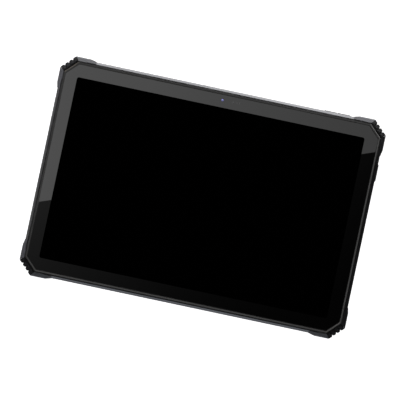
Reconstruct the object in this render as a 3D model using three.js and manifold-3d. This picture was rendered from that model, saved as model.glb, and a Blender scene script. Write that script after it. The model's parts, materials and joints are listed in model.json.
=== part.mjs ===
// Rugged 10.1 inch field tablet (data collector), modelled as an assembly.
// Units are millimetres. The tablet lies on its back: +X is the long way to the right of the
// screen, +Y is up the screen, +Z points out of the screen. The origin is the centre of the
// plane that the four corner bumpers rest on.
import * as THREE from "three";
import { mergeVertices } from "three/addons/utils/BufferGeometryUtils.js";
import Module from "manifold-3d";

const wasm = await Module();
wasm.setup();

// ---------------------------------------------------------------- driving dimensions

// Outlines are chamfered rectangles: half length, half width and the leg of the 45 degree corner.
const OVERALL = { x: 123.4, y: 83.2, chamfer: 10.1 }; // across the corner bumpers
const BODY = { x: 122.2, y: 81.8, chamfer: 10.5 }; // rear cover between the bumpers
const RIM = { x: 119.75, y: 79.35, chamfer: 9.4 }; // outside of the front frame
const GLASS = { x: 118.25, y: 77.55, chamfer: 8.5 };
const RIM_SLOPE = { width: 0.9, drop: 0.25 }; // from the rim's crest down to the glass
const CAVITY = { x: 120.25, y: 79.85, chamfer: 9.36 }; // inside of the rear cover

// Heights above the resting plane.
const BACK_Z = 0.8; // outer face of the rear cover
const FLOOR_Z = 2.8; // inner face of the rear cover
const FRONT_Z = 16; // top of the front frame's rim
const SIDE_TOP_Z = 15.2; // top edge of the rear cover's side walls
const SHOULDER = 1.8; // how far the side walls slope in towards the front
const BUMPER_TOP_Z = 15.8;
const BUMPER_SEAT_Z = 12.95; // the corner bumpers lap over the side walls, cut down to here
const GLASS_Z = [13.9, 15.8];
const TOUCH_Z = [13.3, 13.8];
const LCD_Z = [12.1, 13.1];
const BACKLIGHT_Z = [10.8, 11.9];
const MIDFRAME_Z = [9.4, 10.6];
const BOARD_Z = [5, 6];
const EDGE_MID_Z = 8; // middle of the doors and the dock

const GAP = 0.15; // between neighbouring pieces
const DISPLAY = { x: -0.5, y: -0.2, w: 217.6, h: 136.6 }; // visible window of the screen
const MODULE_MARGIN = 2.6; // display module beyond the visible window, each side

const BATTERY = { x: 0, y: -16, halfX: 58, halfY: 38, z: [3.0, 8.4] };
const HATCH = { halfX: 64.3, halfY: 44.3, corner: 5, z: [0.8, 2.4] }; // battery cover
const HATCH_LEDGE = 6; // width of the ledge that the battery cover screws to
const HATCH_SCREW = { dx: 61.4, dy: 41.4 };

const HOUSING_SCREWS = [
  [62, 73.2], [-62, 73.2], [62, -73.2], [-62, -73.2],
  [112, 26], [-112, 26], [112, -42], [-112, -42],
];
const SCREW = { headR: 2.3, headZ: [1.05, 2.1], shankR: 1.1, endZ: 10.4 };
const SMALL_SCREW = { headR: 1.8, headZ: [0.95, 1.75], shankR: 0.9, endZ: 4 };

const CAMERA = { x: 90, y: 61, r: 4 }; // rear camera window
const FLASH = { x: 76, y: 61, r: 2.3 };
const TRIM = { halfX: 13.6, halfY: 6.2, z: [0.35, 1.6] };
const FRONT_CAMERA = { x: -0.5, y: 73.6 };
const INDICATORS = { x: 9.9, y: 73.6, pitch: 2.65 };
const SPEAKER = { x: 90, y: -61, halfX: 15, halfY: 8, z: [3.1, 7.8] };
const GRIP = { x: 92, y: -6, halfX: 15, halfY: 26, depth: 0.4 }; // grip panels on the back

// Keys on the top edge: half length and middle along X.
const KEY = { half: 4.8, halfZ: 1.5, proud: 0.5, flangeZ: 2.2, clear: 0.25 };
const KEY_Z = 7.5; // middle height of the keys
const POWER_X = 79.95;
const ROCKER_X = 89.95; // the rocker turns about an upright line at its own middle
const ROCKER_NUB = 3.6; // from the rocker's middle to each of its switches

// Doors in the left and right walls. Each turns about a pin at its upper end.
const DOOR = { halfZ: 3.3, pivotDepth: 0.75, barrelR: 0.75, pinR: 0.35, barrelHalfZ: 2.4 };
const IO_DOOR = { side: 1, hingeY: 51.6, length: 13.4, proud: 0.55 };
const CARD_DOOR = { side: -1, hingeY: 51.6, length: 20, proud: 0.05 };

const DOCK = { halfX: 13, halfZ: 2.6, pads: 12, pitch: 1.9 };

// Grip ribs on the corner pads.
const PAD = {
  half: 6.95, // half length at the face
  taper: 0.118, // how much each end closes in for every millimetre inwards, along the mitre
  thick: 1.6,
  grooves: [-3.45, 0, 3.45],
  grooveHalf: 0.85,
  grooveDepth: 1.25,
};

// ---------------------------------------------------------------- materials

const material = (color, roughness, metalness = 0) =>
  new THREE.MeshStandardMaterial({ color, roughness, metalness });
const HOUSING = material(0x2b2c2e, 0.55);
const FRAME = material(0x353536, 0.5);
const BUMPER = material(0x3a3b3e, 0.7);
const PAD_RUBBER = material(0x111112, 0.85);
const BLACK_GLASS = material(0x0a0a0b, 0.1);
const DISPLAY_BLACK = material(0x050506, 0.3);
const KEY_PLASTIC = material(0x2a2b2d, 0.5);
const MAGNESIUM = material(0x8c8f92, 0.5, 0.8);
const STEEL = material(0x6d7074, 0.35, 1);
const GOLD = material(0xc9a24a, 0.3, 1);
const BOARD_GREEN = material(0x14402a, 0.6);
const COPPER = material(0xb4713f, 0.4, 1);
const CERAMIC = material(0xcfc8b8, 0.6);
const SILICONE = material(0x1c1c1e, 0.9);
const BATTERY_WRAP = material(0x1e2226, 0.5);
const LENS = material(0x0c0c18, 0.05);
const DIFFUSER = material(0xf2ecd8, 0.4);

// ---------------------------------------------------------------- shape helpers

// A closed mesh as a solid that can be joined and cut.
function solid(geometry) {
  const bare = geometry.index ? geometry.toNonIndexed() : geometry.clone();
  bare.deleteAttribute("normal");
  bare.deleteAttribute("uv");
  const merged = mergeVertices(bare, 1e-4);
  return new wasm.Manifold(
    new wasm.Mesh({
      numProp: 3,
      vertProperties: merged.attributes.position.array,
      triVerts: new Uint32Array(merged.index.array),
    }),
  );
}

function geometryOf(body) {
  const mesh = body.getMesh();
  const geometry = new THREE.BufferGeometry();
  geometry.setAttribute("position", new THREE.BufferAttribute(mesh.vertProperties, 3));
  geometry.setIndex(new THREE.BufferAttribute(mesh.triVerts, 1));
  return geometry;
}

const joined = (...bodies) => bodies.reduce((a, b) => a.add(b));
const cut = (body, ...tools) => tools.reduce((a, b) => a.subtract(b), body);

// The corner points of a chamfered rectangle moved inwards by inset.
function octagon({ x, y, chamfer }, inset = 0) {
  const [a, b] = [x - inset, y - inset];
  const c = chamfer - (2 - Math.SQRT2) * inset;
  return [
    [a, -b + c], [a, b - c], [a - c, b], [-a + c, b],
    [-a, b - c], [-a, -b + c], [-a + c, -b], [a - c, -b],
  ];
}

const shapeOf = (points) => new THREE.Shape(points.map(([x, y]) => new THREE.Vector2(x, y)));

// A straight-sided slab of a plan shape between two heights.
function slab(shape, [z0, z1], segments = 5) {
  const options = { depth: z1 - z0, bevelEnabled: false, curveSegments: segments };
  return solid(new THREE.ExtrudeGeometry(shape, options).translate(0, 0, z0));
}

// A solid through a stack of plan outlines, each [height, points], all with the same point count.
function stack(sections) {
  const count = sections[0][1].length;
  const positions = sections.flatMap(([z, points]) => points.flatMap(([x, y]) => [x, y, z]));
  const faces = [];
  for (let s = 0; s + 1 < sections.length; s++)
    for (let i = 0; i < count; i++) {
      const [a, b] = [s * count + i, s * count + ((i + 1) % count)];
      faces.push(a, b, b + count, a, b + count, a + count);
    }
  const contour = sections[0][1].map(([x, y]) => new THREE.Vector2(x, y));
  const top = (sections.length - 1) * count;
  for (const [a, b, c] of THREE.ShapeUtils.triangulateShape(contour, []))
    faces.push(c, b, a, a + top, b + top, c + top);
  const geometry = new THREE.BufferGeometry();
  geometry.setAttribute("position", new THREE.Float32BufferAttribute(positions, 3));
  geometry.setIndex(faces);
  return solid(geometry);
}

function box([x0, y0, z0], [x1, y1, z1]) {
  const geometry = new THREE.BoxGeometry(x1 - x0, y1 - y0, z1 - z0);
  return solid(geometry.translate((x0 + x1) / 2, (y0 + y1) / 2, (z0 + z1) / 2));
}

// A box by its middle and half sizes in plan.
const block = (x, y, halfX, halfY, [z0, z1]) =>
  box([x - halfX, y - halfY, z0], [x + halfX, y + halfY, z1]);

// An upright round bar.
function post(x, y, r, [z0, z1], sides = 16) {
  const geometry = new THREE.CylinderGeometry(r, r, z1 - z0, sides).rotateX(Math.PI / 2);
  return solid(geometry.translate(x, y, (z0 + z1) / 2));
}

function roundedRectangle(x, y, halfX, halfY, r) {
  const shape = new THREE.Shape();
  shape.moveTo(x - halfX + r, y - halfY);
  shape.absarc(x + halfX - r, y - halfY + r, r, -Math.PI / 2, 0);
  shape.absarc(x + halfX - r, y + halfY - r, r, 0, Math.PI / 2);
  shape.absarc(x - halfX + r, y + halfY - r, r, Math.PI / 2, Math.PI);
  shape.absarc(x - halfX + r, y - halfY + r, r, Math.PI, 1.5 * Math.PI);
  return shape;
}

// The same body in another quarter of the plan.
function mirrored(body, signX, signY) {
  const geometry = geometryOf(body).toNonIndexed().scale(signX, signY, 1);
  if (signX * signY < 0) {
    const p = geometry.attributes.position;
    for (let i = 0; i < p.count; i += 3) {
      const [b, c] = [i + 1, i + 2].map((k) => new THREE.Vector3().fromBufferAttribute(p, k));
      p.setXYZ(i + 1, c.x, c.y, c.z);
      p.setXYZ(i + 2, b.x, b.y, b.z);
    }
  }
  return solid(geometry);
}

const assembly = new THREE.Group();

function place(name, body, look) {
  const mesh = new THREE.Mesh(geometryOf(body), look);
  mesh.name = name;
  assembly.add(mesh);
}

// ---------------------------------------------------------------- rear housing

// The side walls swell from the back chamfer to the full outline, then slope in to the front.
const bodyProfile = (grow) =>
  stack([
    [BACK_Z - grow, octagon(BODY, 3 - grow)],
    [4, octagon(BODY, -grow)],
    [12.2, octagon(BODY, -grow)],
    [SIDE_TOP_Z + grow, octagon(BODY, SHOULDER - grow)],
  ]);

function screwHoles() {
  const tools = HOUSING_SCREWS.flatMap(([x, y]) => [
    post(x, y, SCREW.shankR + 0.25, [0, 12]),
    post(x, y, SCREW.headR + 0.4, [0, SCREW.headZ[1] + GAP]),
  ]);
  for (const sx of [-1, 1])
    for (const sy of [-1, 1])
      tools.push(post(BATTERY.x + sx * HATCH_SCREW.dx, BATTERY.y + sy * HATCH_SCREW.dy, 1.15, [0, 6]));
  return joined(...tools);
}

// The opening for the battery cover and the ledge under it.
const hatchShape = (grow) =>
  roundedRectangle(BATTERY.x, BATTERY.y, HATCH.halfX + grow, HATCH.halfY + grow, HATCH.corner + grow);

function hatchLedge() {
  const outer = slab(hatchShape(2), [HATCH.z[1] + 0.2, 4.2]);
  return cut(outer, slab(hatchShape(GAP - HATCH_LEDGE + 2), [2, 5]));
}

function speakerSlots() {
  const slots = [];
  for (const side of [-1, 1])
    for (let i = -2; i <= 2; i++)
      slots.push(slab(roundedRectangle(side * SPEAKER.x, SPEAKER.y + 2.7 * i, 6, 0.65, 0.64), [0, 3], 4));
  return joined(...slots);
}

function gripPanels() {
  const outline = { x: GRIP.halfX, y: GRIP.halfY, chamfer: 5 };
  const panel = (side) => {
    const points = octagon(outline).map(([x, y]) => [x + side * GRIP.x, y + GRIP.y]);
    return slab(shapeOf(points), [0, BACK_Z + GRIP.depth]);
  };
  return joined(panel(1), panel(-1));
}

function cameraRecess() {
  const middle = (CAMERA.x + FLASH.x) / 2;
  return joined(
    slab(roundedRectangle(middle, CAMERA.y, TRIM.halfX + GAP, TRIM.halfY + GAP, 6), [0, TRIM.z[1] + GAP]),
    post(CAMERA.x, CAMERA.y, CAMERA.r + 0.6, [0, 4]),
    post(FLASH.x, FLASH.y, FLASH.r + 0.3, [0, 4]),
  );
}

// The slot through the top wall for one key.
const keySlot = (x) =>
  box(
    [x - KEY.half - KEY.clear, 79, KEY_Z - KEY.halfZ - KEY.clear],
    [x + KEY.half + KEY.clear, 84, KEY_Z + KEY.halfZ + KEY.clear],
  );

// Places a box given along a side wall: out from the wall's face, along Y from the hinge, and up.
function onWall({ side, hingeY }, [u0, v0, z0], [u1, v1, z1]) {
  const xs = [side * (BODY.x + u0), side * (BODY.x + u1)].sort((a, b) => a - b);
  return box([xs[0], hingeY + v0, z0], [xs[1], hingeY + v1, z1]);
}

// The pocket that a door lies in, its hole through the wall, and the pin's hole.
function doorPocket(door) {
  const { length } = door;
  const z = (half) => [EDGE_MID_Z - half, EDGE_MID_Z + half];
  const [plate0, plate1] = z(DOOR.halfZ + 0.2);
  const [barrel0, barrel1] = z(DOOR.barrelHalfZ + 0.15);
  const pivotX = door.side * (BODY.x - DOOR.pivotDepth);
  return joined(
    onWall(door, [-1.05, -length - 0.25, plate0], [2, -0.6, plate1]),
    onWall(door, [-1.65, -1.3, barrel0], [2, 1.4, barrel1]),
    onWall(door, [-1.05, -length - 1.6, EDGE_MID_Z - 1.6], [2, -length, EDGE_MID_Z + 1.6]),
    onWall(door, [-3, -length + 0.9, EDGE_MID_Z - 2.5], [2, -2, EDGE_MID_Z + 2.5]),
    post(pivotX, door.hingeY, DOOR.pinR + 0.1, z(DOOR.halfZ + 0.35), 16),
  );
}

// Material behind each door's hinge, inside the wall.
const hingeBoss = (door) =>
  onWall(door, [-3.4, -2.4, FLOOR_Z - 0.3], [-1.5, 2.6, MIDFRAME_Z[0] - 0.2]);

function rearCover() {
  const posts = HOUSING_SCREWS.map(([x, y]) => post(x, y, 3.2, [FLOOR_Z - 0.3, MIDFRAME_Z[0] - 0.2]));
  const shell = cut(
    bodyProfile(0),
    slab(shapeOf(octagon(CAVITY)), [FLOOR_Z, 17]),
    slab(hatchShape(0.2), [0, 3]),
    ...CORNERS.map(([, sx, sy]) => mirrored(slab(cornerPlan(), [BUMPER_SEAT_Z, 17]), sx, sy)),
  );
  return cut(
    joined(shell, hatchLedge(), hingeBoss(IO_DOOR), hingeBoss(CARD_DOOR), ...posts),
    screwHoles(),
    speakerSlots(),
    gripPanels(),
    cameraRecess(),
    keySlot(POWER_X),
    keySlot(ROCKER_X),
    doorPocket(IO_DOOR),
    doorPocket(CARD_DOOR),
    box([-DOCK.halfX - 0.2, -84, EDGE_MID_Z - DOCK.halfZ - 0.2],
      [DOCK.halfX + 0.2, -79, EDGE_MID_Z + DOCK.halfZ + 0.2]),
    box([72.8, 79, 9.9], [73.8, 84, 10.9]), // microphone hole
  );
}

function batteryCover() {
  const screws = [-1, 1].flatMap((sx) =>
    [-1, 1].flatMap((sy) => {
      const [x, y] = [BATTERY.x + sx * HATCH_SCREW.dx, BATTERY.y + sy * HATCH_SCREW.dy];
      return [
        post(x, y, SMALL_SCREW.shankR + 0.25, [0, 4]),
        post(x, y, SMALL_SCREW.headR + 0.3, [0, SMALL_SCREW.headZ[1] + GAP]),
      ];
    }),
  );
  const nailNotch = block(BATTERY.x, BATTERY.y - HATCH.halfY, 7, 1.4, [0, BACK_Z + 0.7]);
  return cut(slab(hatchShape(0), HATCH.z), ...screws, nailNotch);
}

// ---------------------------------------------------------------- corner bumpers

const CORNERS = [
  ["top_left", -1, 1], ["top_right", 1, 1], ["bottom_left", -1, -1], ["bottom_right", 1, -1],
];

// How far the bumper's surface lies inside the overall outline, by height.
const BUMPER_SLOPES = [[0, 2.6], [3.2, 0], [12.6, 0], [BUMPER_TOP_Z, 3.3]];
const bumperSkin = (inset) =>
  stack(BUMPER_SLOPES.map(([z, step]) => [z, octagon(OVERALL, step + inset)]));

// The plan of the corner at +X +Y, with the wings that taper into the walls.
function cornerPlan() {
  const { x, y } = OVERALL;
  const flat = 21.2;
  const end = 25.8;
  return shapeOf([
    [x - end, BODY.y + GAP], [x - end, BODY.y - 5], [x - 20, BODY.y - 11],
    [BODY.x - 11, y - 20], [BODY.x - 5, y - end], [BODY.x + GAP, y - end],
    [x, y - flat], [x, y - OVERALL.chamfer], [x - OVERALL.chamfer, y], [x - flat, y],
  ]);
}

// A shape given along and across the 45 degree corner face.
function onCorner(along, outwards) {
  const faceDistance = (OVERALL.x + OVERALL.y - OVERALL.chamfer) / Math.SQRT2;
  const middle = (OVERALL.x - OVERALL.y) / Math.SQRT2; // of the face, along its length
  const [t, n] = [along + middle, faceDistance + outwards];
  return [(n + t) / Math.SQRT2, (n - t) / Math.SQRT2];
}

// The upright slice of a corner that its pad covers.
function padZone(half) {
  const end = (n) => half + PAD.taper * n;
  const [front, back] = [3, -12];
  const points = [[end(front), front], [-end(front), front], [-end(back), back], [end(back), back]];
  return slab(shapeOf(points.map(([t, n]) => onCorner(t, n))), [-1, 17]);
}

// One V groove that runs up the pad and over its front slope.
function padGroove(at) {
  const { grooveHalf, grooveDepth } = PAD;
  const slopes = [[-1, 3.4], ...BUMPER_SLOPES.slice(1), [BUMPER_TOP_Z + 1, 4.33]];
  return stack(
    slopes.map(([z, step]) => [
      z,
      [
        onCorner(at + grooveHalf * 1.33, 0.3 - step),
        onCorner(at - grooveHalf * 1.33, 0.3 - step),
        onCorner(at, -grooveDepth - step),
      ],
    ]),
  );
}

function corner() {
  const { x, y } = OVERALL;
  const opening = slab(shapeOf(octagon(RIM, -GAP)), [8, 17]);
  const slotX = x - 18.7; // the groove round the rim runs this far under each wing
  const slotY = y - 18.7;
  const seatTop = slab(shapeOf(octagon(OVERALL, -2)), [BUMPER_SEAT_Z + GAP, 17]);
  const whole = cut(
    bumperSkin(0).intersect(slab(cornerPlan(), [-1, 17])),
    cut(bodyProfile(GAP), seatTop),
    opening,
    box([80, CAVITY.y - 1, 12], [slotX, CAVITY.y + 0.25, 17]),
    box([CAVITY.x - 1, 40, 12], [CAVITY.x + 0.25, slotY, 17]),
  );
  const pad = cut(whole.intersect(padZone(PAD.half)), bumperSkin(PAD.thick), ...PAD.grooves.map(padGroove));
  const seat = cut(padZone(PAD.half + GAP), bumperSkin(PAD.thick + GAP));
  return { bumper: cut(whole, seat), pad };
}

// ---------------------------------------------------------------- front

function frontFrame() {
  const outer = stack([
    [MIDFRAME_Z[1] + 0.2, octagon(RIM)],
    [FRONT_Z - 0.45, octagon(RIM)],
    [FRONT_Z, octagon(RIM, 0.4)],
  ]);
  const slope = stack([
    [FRONT_Z - RIM_SLOPE.drop, octagon(GLASS, -GAP)],
    [FRONT_Z + RIM_SLOPE.drop, octagon(GLASS, -GAP - 2 * RIM_SLOPE.width)],
  ]);
  const ring = cut(
    outer,
    slope,
    slab(shapeOf(octagon(GLASS, -GAP)), [GLASS_Z[0] - 0.2, 17]),
    slab(shapeOf(octagon(GLASS, 1)), [9, 17]),
  );
  const sealSeat = cut(
    slab(shapeOf(octagon(RIM, -1)), [11.4, 12.9]),
    slab(shapeOf(octagon(RIM, 0.8)), [11, 13]),
  );
  return cut(ring, sealSeat);
}

function ringOf(outer, inner, z) {
  const shape = shapeOf(outer);
  shape.holes.push(new THREE.Path(inner.map(([x, y]) => new THREE.Vector2(x, y))));
  return slab(shape, z);
}

const housingSeal = () => ringOf(octagon(CAVITY, 0.1), octagon(RIM, 0.7), [11.5, 12.8]);
const displayPlate = (margin, z) =>
  block(DISPLAY.x, DISPLAY.y, DISPLAY.w / 2 + margin, DISPLAY.h / 2 + margin, z);

function midframe() {
  const holes = HOUSING_SCREWS.map(([x, y]) => post(x, y, SCREW.shankR + 0.1, [9, 11], 16));
  return cut(
    slab(shapeOf(octagon(CAVITY, 1.1)), MIDFRAME_Z),
    ...holes,
    block(-45, 32.5, 14, 1.4, [9, 11]), // display cable slot
    block(0, 64, 5, 1.2, [9, 11]), // camera cable slot
    box([POWER_X - 7, 77.6, 9], [ROCKER_X + 7, 80, 11]), // room for the keys
    box([-DOCK.halfX - 0.3, -80, 9], [DOCK.halfX + 0.3, -77, 11]), // room for the dock
  );
}

// ---------------------------------------------------------------- electronics

function mainBoard() {
  const outline = shapeOf([
    [-118, 36], [118, 36], [118, 52], [66, 52], [66, 69], [-64, 69], [-64, 50], [-118, 50],
  ]);
  const top = [BOARD_Z[1] - 0.1, BOARD_Z[1] + 1.2];
  const memory = [0, 1].map((i) => block(20 + 13 * i, 57, 5, 7, top));
  const sockets = [[-45, 39.5, 12], [8, 39, 7], [58, 40, 5]].map(([x, y, half]) =>
    block(x, y, half, 1.8, [BOARD_Z[1] - 0.1, BOARD_Z[1] + 1.6]));
  const chokes = [0, 1, 2, 3].map((i) => block(76 + 8 * i, 44, 2.6, 2.6, [BOARD_Z[1] - 0.1, 8.4]));
  return joined(slab(outline, BOARD_Z), ...memory, ...sockets, ...chokes);
}

// A pressed cover with an open underside.
function shieldCan(x, y, halfX, halfY, [z0, z1], opensUp) {
  const wall = 0.35;
  const hollow = opensUp ? [z0 + wall, z1 + 1] : [z0 - 1, z1 - wall];
  return cut(
    block(x, y, halfX, halfY, [z0, z1]),
    block(x, y, halfX - wall, halfY - wall, hollow),
  );
}

// A circuit board that stands behind the keys, with a dome switch for each push.
function keyBoard() {
  const board = box([POWER_X - 7, 75.6, KEY_Z - 2.4], [ROCKER_X + 7, 76.5, KEY_Z + 1.8]);
  const domes = [POWER_X, ROCKER_X - ROCKER_NUB, ROCKER_X + ROCKER_NUB].map((x) =>
    solid(new THREE.CylinderGeometry(0.9, 1.5, 0.7, 20).translate(x, 76.75, KEY_Z)));
  return joined(board, ...domes);
}

// A key on the top edge: its cap, the flange that holds it in, and nubs that press the switches.
function topKey(x, flangeY, nubOffsets, nubHalf) {
  const piece = (at, half, y0, y1, halfZ) =>
    box([at - half, y0, KEY_Z - halfZ], [at + half, y1, KEY_Z + halfZ]);
  return joined(
    piece(x, KEY.half, 79, BODY.y + KEY.proud, KEY.halfZ),
    piece(x, KEY.half, flangeY, flangeY + 0.75, KEY.flangeZ),
    ...nubOffsets.map((dx) => piece(x + dx, nubHalf, 77.65, 79.1, 0.9)),
  );
}

// A door plate with a sealing plug behind it and a barrel that turns on a pin.
function door(spec) {
  const { side, hingeY, length, proud } = spec;
  const [z0, z1] = [EDGE_MID_Z - DOOR.halfZ, EDGE_MID_Z + DOOR.halfZ];
  const [b0, b1] = [EDGE_MID_Z - DOOR.barrelHalfZ, EDGE_MID_Z + DOOR.barrelHalfZ];
  const pivotX = side * (BODY.x - DOOR.pivotDepth);
  const webPoints = [[-0.9, -1.6], [proud, -1.6], [-0.05, -0.2], [-1.3, -0.2]];
  const web = webPoints.map(([u, v]) => [side * (BODY.x + u), hingeY + v]);
  const plug = cut(
    onWall(spec, [-1.75, -length + 1.25, EDGE_MID_Z - 2.15], [-0.85, -2.4, EDGE_MID_Z + 2.15]),
    onWall(spec, [-3, -length + 2.1, EDGE_MID_Z - 1.3], [-1.1, -3.25, EDGE_MID_Z + 1.3]),
  );
  return cut(
    joined(
      onWall(spec, [-0.9, -length, z0], [proud, -1.1, z1]),
      slab(shapeOf(side > 0 ? web : web.reverse()), [b0, b1]),
      post(pivotX, hingeY, DOOR.barrelR, [b0, b1], 20),
      plug,
    ),
    post(pivotX, hingeY, DOOR.pinR + 0.08, [0, 16], 16),
  );
}

const doorPin = ({ side, hingeY }) =>
  post(side * (BODY.x - DOOR.pivotDepth), hingeY, DOOR.pinR,
    [EDGE_MID_Z - DOOR.halfZ - 0.15, EDGE_MID_Z + DOOR.halfZ + 0.15], 16);

// A USB-C socket: a flattened tube with its tongue, on the board's right end.
function usbSocket() {
  const y = IO_DOOR.hingeY - IO_DOOR.length / 2 - 0.6;
  const z = 7.75;
  const section = (halfY, halfZ) => roundedRectangle(0, 0, halfY, halfZ, halfZ - 0.01);
  const along = (shape, x0, x1) =>
    solid(new THREE.ExtrudeGeometry(shape, { depth: x1 - x0, bevelEnabled: false, curveSegments: 6 })
      .rotateY(Math.PI / 2).rotateX(Math.PI / 2).translate(x0, y, z));
  return joined(
    cut(along(section(4.45, 1.6), 112.4, 119.9), along(section(4.15, 1.3), 113.6, 121)),
    box([113, y - 3.3, z - 0.35], [118.6, y + 3.3, z + 0.35]),
  );
}

// A push-in reader for the SIM and memory cards, behind the left door.
function cardReader() {
  const y = CARD_DOOR.hingeY - CARD_DOOR.length / 2 - 0.6;
  return cut(
    box([-119.9, y - 7.4, 6.2], [-105, y + 7.4, 8.9]),
    box([-121, y - 6.3, 6.8], [-106, y + 6.3, 7.5]),
    box([-121, y - 5.6, 7.9], [-108, y + 5.6, 8.6]),
  );
}

function dockConnector() {
  const z = EDGE_MID_Z;
  const slots = dockPadCentres().map((x) => box([x - 0.65, -83, z - 1.3], [x + 0.65, -76, z + 1.3]));
  const body = box([-DOCK.halfX, -81.2, z - DOCK.halfZ], [DOCK.halfX, -77.4, z + DOCK.halfZ]);
  return cut(body, ...slots);
}

function dockPadCentres() {
  return Array.from({ length: DOCK.pads }, (_, i) => (i - (DOCK.pads - 1) / 2) * DOCK.pitch);
}

function dockContacts() {
  const z = EDGE_MID_Z;
  const pads = dockPadCentres().map((x) => box([x - 0.5, -80.9, z - 1.1], [x + 0.5, -77, z + 1.1]));
  return joined(box([-DOCK.halfX + 1, -77.2, z - 1.1], [DOCK.halfX - 1, -76.4, z + 1.1]), ...pads);
}

function speaker(side) {
  const { x, y, halfX, halfY, z } = SPEAKER;
  const caseBody = block(side * x, y, halfX, halfY, z);
  const cone = post(side * x, y, 5.6, [z[0] - 1, z[0] + 0.7]);
  return cut(caseBody, cone);
}

// A square module with a round barrel on one end.
const cameraModule = ({ x, y }, half, barrelR, bodyZ, barrelZ) =>
  joined(block(x, y, half, half, bodyZ), post(x, y, barrelR, barrelZ));

// The light sensor, the charge light and the microphone beside the front camera.
function indicatorBoard() {
  const { x, y, pitch } = INDICATORS;
  const parts = [-1, 0, 1].map((i) => block(x + i * pitch, y, 0.7, 0.7, [11.5, 13]));
  return joined(block(x, y, 4.4, 2.3, [10.8, 11.6]), ...parts);
}

function cameraTrim() {
  const middle = (CAMERA.x + FLASH.x) / 2;
  return cut(
    slab(roundedRectangle(middle, CAMERA.y, TRIM.halfX, TRIM.halfY, 6), TRIM.z),
    post(CAMERA.x, CAMERA.y, CAMERA.r + GAP, [0, 1.3]),
    post(CAMERA.x, CAMERA.y, CAMERA.r - 0.7, [0, 4]),
    post(FLASH.x, FLASH.y, FLASH.r + GAP, [0, 1.3]),
    post(FLASH.x, FLASH.y, FLASH.r - 0.6, [0, 4]),
  );
}

// A pan-head screw, upright, its head at the back.
function screw([x, y], { headR, headZ, shankR, endZ }) {
  const socket = post(x, y, headR * 0.5, [headZ[0] - 1, headZ[0] + 0.55], 6);
  const head = post(x, y, headR, headZ);
  return cut(joined(head, post(x, y, shankR, [headZ[1] - 0.1, endZ], 10)), socket);
}

// ---------------------------------------------------------------- assembly

place("rear_cover", rearCover(), HOUSING);
place("battery_cover", batteryCover(), HOUSING);
place("front_frame", frontFrame(), FRAME);
place("housing_seal", housingSeal(), SILICONE);
place("midframe", midframe(), MAGNESIUM);
place("cover_glass", slab(shapeOf(octagon(GLASS)), GLASS_Z), BLACK_GLASS);
place("touch_sensor", displayPlate(MODULE_MARGIN, TOUCH_Z), DISPLAY_BLACK);
place("lcd_panel", displayPlate(MODULE_MARGIN, LCD_Z), DISPLAY_BLACK);
place("backlight", displayPlate(MODULE_MARGIN - 0.3, BACKLIGHT_Z), DIFFUSER);

const { bumper, pad } = corner();
for (const [name, sx, sy] of CORNERS) {
  place("bumper_" + name, mirrored(bumper, sx, sy), BUMPER);
  place("grip_pad_" + name, mirrored(pad, sx, sy), PAD_RUBBER);
}

place("power_button", topKey(POWER_X, 78.95, [0], 1), KEY_PLASTIC);
place("volume_rocker", topKey(ROCKER_X, 78.6, [-ROCKER_NUB, ROCKER_NUB], 0.7), KEY_PLASTIC);
place("key_board", keyBoard(), BOARD_GREEN);
place("io_door", door(IO_DOOR), SILICONE);
place("io_door_pin", doorPin(IO_DOOR), STEEL);
place("card_door", door(CARD_DOOR), SILICONE);
place("card_door_pin", doorPin(CARD_DOOR), STEEL);
place("usb_socket", usbSocket(), STEEL);
place("card_reader", cardReader(), STEEL);
place("dock_connector", dockConnector(), KEY_PLASTIC);
place("dock_contacts", dockContacts(), GOLD);

place("main_board", mainBoard(), BOARD_GREEN);
place("processor_shield", shieldCan(-14, 56, 15, 10, [6.15, 8.1], false), STEEL);
place("modem_shield", shieldCan(-46, 54, 13, 11, [3.1, 4.85], true), STEEL);
place("heat_spreader", block(-14, 56, 30, 12, [8.3, 9.1]), COPPER);
place("battery_pack", slab(
  roundedRectangle(BATTERY.x, BATTERY.y, BATTERY.halfX, BATTERY.halfY, 2.5), BATTERY.z, 4), BATTERY_WRAP);
place("gnss_antenna", block(-88, 63, 10, 10, [3.1, 8.6]), CERAMIC);
place("wifi_antenna", box([-54, 78.9, 3.4], [-14, 79.3, 8.9]), COPPER);
place("mobile_antenna", box([-119.7, -30, 3.4], [-119.3, 14, 8.9]), COPPER);
place("front_camera", cameraModule(FRONT_CAMERA, 2.4, 1.7, [10.8, 13], [12.9, 13.7]), KEY_PLASTIC);
place("indicator_board", indicatorBoard(), BOARD_GREEN);
place("rear_camera", cameraModule(CAMERA, 4.6, 3.9, [3.1, 8.2], [2, 3.2]), KEY_PLASTIC);
place("flash_module", cameraModule(FLASH, 3, 1.4, [3.1, 4.4], [1.9, 3.2]), DIFFUSER);
place("camera_trim", cameraTrim(), KEY_PLASTIC);
place("camera_window", post(CAMERA.x, CAMERA.y, CAMERA.r, [0.45, 1.2]), LENS);
place("flash_lens", post(FLASH.x, FLASH.y, FLASH.r, [0.45, 1.2]), DIFFUSER);
place("speaker_left", speaker(-1), KEY_PLASTIC);
place("speaker_right", speaker(1), KEY_PLASTIC);
place("vibration_motor", post(-92, -24, 5, [3.1, 6.1]), STEEL);

HOUSING_SCREWS.forEach((at, i) => place("housing_screw_" + (i + 1), screw(at, SCREW), STEEL));
[[1, 1], [-1, 1], [1, -1], [-1, -1]].forEach(([sx, sy], i) => {
  const at = [BATTERY.x + sx * HATCH_SCREW.dx, BATTERY.y + sy * HATCH_SCREW.dy];
  place("battery_screw_" + (i + 1), screw(at, SMALL_SCREW), STEEL);
});

export default assembly;
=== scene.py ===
"""The looks of a rugged field tablet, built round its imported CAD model.

Lengths in this script are millimetres until a mesh is made. The tablet lies on its back, with +X to the
right of its screen, +Y up the screen and +Z out of it.
"""

import json
import math

import bmesh
import bpy
from mathutils import Matrix, Vector


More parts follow.
